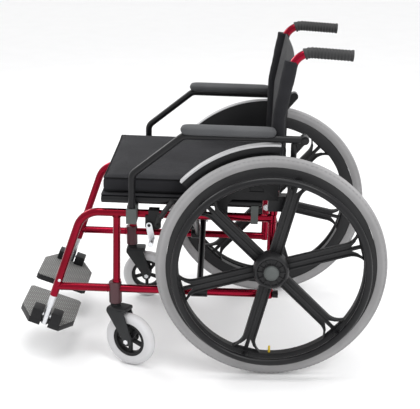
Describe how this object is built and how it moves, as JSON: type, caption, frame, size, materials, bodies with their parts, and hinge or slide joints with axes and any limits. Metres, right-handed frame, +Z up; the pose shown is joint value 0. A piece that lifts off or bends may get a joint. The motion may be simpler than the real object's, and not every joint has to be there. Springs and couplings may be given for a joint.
{
  "type": "manual wheelchair",
  "caption": "Folding manual wheelchair with a cross-braced tubular frame, spoked push wheels with handrims, swivel casters, flip-back armrests and height-adjustable footrests.",
  "frame": {"origin": "on the floor, under the middle of the whole chair", "axes": "+X towards the footrests, +Y to the rider's left, +Z up"},
  "size_m": [0.997, 0.6864, 0.8791],
  "materials": {
    "frame": "deep red anodised metallic, glossy",
    "black_tube": "black powder coat, satin",
    "steel": "brushed",
    "mag": "charcoal moulded, satin",
    "plastic": "black moulded",
    "grey_plastic": "grey moulded",
    "grip_rubber": "black ribbed",
    "tread": "grey, matt",
    "caster_tread": "pale grey, matt",
    "nylon": "black woven nylon",
    "foam": "grey integral-skin foam",
    "plate": "grey with anti-slip diamonds"
  },
  "bodies": {
    "left_frame": {"side_frame_left": "frame", "frame_plug_left": "plastic", "back_cane_left": "frame", "push_grip_left": "grip_rubber", "back_sleeve_left": "nylon", "seat_cradle_left": "grey_plastic", "armrest_socket_left": "grey_plastic", "armrest_bracket_left": "black_tube", "side_guard_left": "plastic", "brake_clamp_left": "plastic", "wheel_axle_left": "steel", "back_panel": "nylon"},
    "right_frame": {"side_frame_right": "frame", "frame_plug_right": "plastic", "back_cane_right": "frame", "push_grip_right": "grip_rubber", "back_sleeve_right": "nylon", "seat_cradle_right": "grey_plastic", "armrest_socket_right": "grey_plastic", "armrest_bracket_right": "black_tube", "side_guard_right": "plastic", "brake_clamp_right": "plastic", "wheel_axle_right": "steel"},
    "brace_a": {"cross_brace_a": "black_tube", "cross_bolt": "steel", "seat_sling": "nylon", "seat_cushion": "nylon"},
    "brace_b": {"cross_brace_b": "black_tube"},
    "footrest_left": {"footrest_tube_left": "steel", "footplate_pin_left": "steel"},
    "footplate_left": {"footplate_left": "plate"},
    "rear_wheel_left": {"rear_tyre_left": "tread", "mag_wheel_left": "mag", "handrim_left": "black_tube", "hub_cap_left": "grey_plastic"},
    "caster_swivel_left": {"caster_fork_left": "plastic", "caster_axle_left": "steel"},
    "caster_wheel_left": {"caster_rim_left": "mag", "caster_tyre_left": "caster_tread"},
    "armrest_left": {"armrest_tube_left": "black_tube", "armrest_pad_left": "foam"},
    "brake_lever_left": {"brake_lever_left": "plastic"},
    "brake_shoe_left": {"brake_shoe_left": "steel"},
    "footrest_right": {"footrest_tube_right": "steel", "footplate_pin_right": "steel"},
    "footplate_right": {"footplate_right": "plate"},
    "rear_wheel_right": {"rear_tyre_right": "tread", "mag_wheel_right": "mag", "handrim_right": "black_tube", "hub_cap_right": "grey_plastic"},
    "caster_swivel_right": {"caster_fork_right": "plastic", "caster_axle_right": "steel"},
    "caster_wheel_right": {"caster_rim_right": "mag", "caster_tyre_right": "caster_tread"},
    "armrest_right": {"armrest_tube_right": "black_tube", "armrest_pad_right": "foam"},
    "brake_lever_right": {"brake_lever_right": "plastic"},
    "brake_shoe_right": {"brake_shoe_right": "steel"}
  },
  "joints": [
    {"name": "fold", "type": "hinge", "parent": "left_frame", "child": "brace_a", "pos_m": [-0.00296, 0.23, 0.21046], "axis": [-0.9997, 0, -0.0262], "range_deg": [0, 46.5], "deforming": ["seat_cushion", "seat_sling", "back_panel"]},
    {"name": "cross_pivot", "type": "hinge", "parent": "brace_a", "child": "brace_b", "pos_m": [0.00369, 0, 0.33842], "axis": [-0.9997, 0, -0.0262], "range_deg": [-93, 0]},
    {"name": "right_frame_hinge", "type": "hinge", "parent": "brace_b", "child": "right_frame", "pos_m": [0.01703, -0.23, 0.21098], "axis": [-0.9997, 0, -0.0262], "range_deg": [0, 46.5]},
    {"name": "footrest_slide_left", "type": "slide", "parent": "left_frame", "child": "footrest_left", "axis": [0.3392, 0, -0.9407], "range_m": [-0.02, 0.04]},
    {"name": "footplate_flip_left", "type": "hinge", "parent": "footrest_left", "child": "footplate_left", "pos_m": [0.41633, 0.23, 0.13315], "axis": [-0.9407, 0, -0.3392], "range_deg": [0, 89.28]},
    {"name": "rear_wheel_spin_left", "type": "hinge", "parent": "left_frame", "child": "rear_wheel_left", "pos_m": [-0.1935, 0.29, 0.305], "axis": [0, 1, 0], "continuous": true},
    {"name": "caster_turn_left", "type": "hinge", "parent": "left_frame", "child": "caster_swivel_left", "pos_m": [0.2255, 0.23, 0.17], "axis": [0, 0, 1], "continuous": true},
    {"name": "caster_spin_left", "type": "hinge", "parent": "caster_swivel_left", "child": "caster_wheel_left", "pos_m": [0.18472, 0.24902, 0.075], "axis": [0.4226, 0.9063, 0], "continuous": true},
    {"name": "armrest_flip_left", "type": "hinge", "parent": "left_frame", "child": "armrest_left", "pos_m": [-0.27245, 0.267, 0.64605], "axis": [0, -1, 0], "range_deg": [0, 100]},
    {"name": "brake_pull_left", "type": "hinge", "parent": "left_frame", "child": "brake_lever_left", "pos_m": [0.10696, 0.25, 0.4059], "axis": [0, 1, 0], "range_deg": [0, 60]},
    {"name": "brake_shoe_turn_left", "type": "hinge", "parent": "left_frame", "child": "brake_shoe_left", "pos_m": [0.12895, 0.254, 0.40648], "axis": [0, 1, 0], "range_deg": [0, 13]},
    {"name": "footrest_slide_right", "type": "slide", "parent": "right_frame", "child": "footrest_right", "axis": [0.3392, 0, -0.9407], "range_m": [-0.02, 0.04]},
    {"name": "footplate_flip_right", "type": "hinge", "parent": "footrest_right", "child": "footplate_right", "pos_m": [0.41633, -0.23, 0.13315], "axis": [0.9407, 0, 0.3392], "range_deg": [0, 89.28]},
    {"name": "rear_wheel_spin_right", "type": "hinge", "parent": "right_frame", "child": "rear_wheel_right", "pos_m": [-0.1935, -0.29, 0.305], "axis": [0, 1, 0], "continuous": true},
    {"name": "caster_turn_right", "type": "hinge", "parent": "right_frame", "child": "caster_swivel_right", "pos_m": [0.2255, -0.23, 0.17], "axis": [0, 0, 1], "continuous": true},
    {"name": "caster_spin_right", "type": "hinge", "parent": "caster_swivel_right", "child": "caster_wheel_right", "pos_m": [0.1805, -0.23, 0.075], "axis": [0, 1, 0], "continuous": true},
    {"name": "armrest_flip_right", "type": "hinge", "parent": "right_frame", "child": "armrest_right", "pos_m": [-0.27245, -0.267, 0.64605], "axis": [0, -1, 0], "range_deg": [0, 100]},
    {"name": "brake_pull_right", "type": "hinge", "parent": "right_frame", "child": "brake_lever_right", "pos_m": [0.10696, -0.25, 0.4059], "axis": [0, 1, 0], "range_deg": [0, 60]},
    {"name": "brake_shoe_turn_right", "type": "hinge", "parent": "right_frame", "child": "brake_shoe_right", "pos_m": [0.12895, -0.254, 0.40648], "axis": [0, 1, 0], "range_deg": [0, 13]}
  ],
  "couplings": [
    {"joint": "cross_pivot", "follows": "fold", "ratio": -2},
    {"joint": "right_frame_hinge", "follows": "fold", "ratio": 1},
    {"joint": "footplate_flip_left", "follows": "fold", "ratio": 1.92},
    {"joint": "brake_shoe_turn_left", "follows": "brake_pull_left", "ratio": 0.21667},
    {"joint": "footplate_flip_right", "follows": "fold", "ratio": 1.92},
    {"joint": "brake_shoe_turn_right", "follows": "brake_pull_right", "ratio": 0.21667}
  ]
}
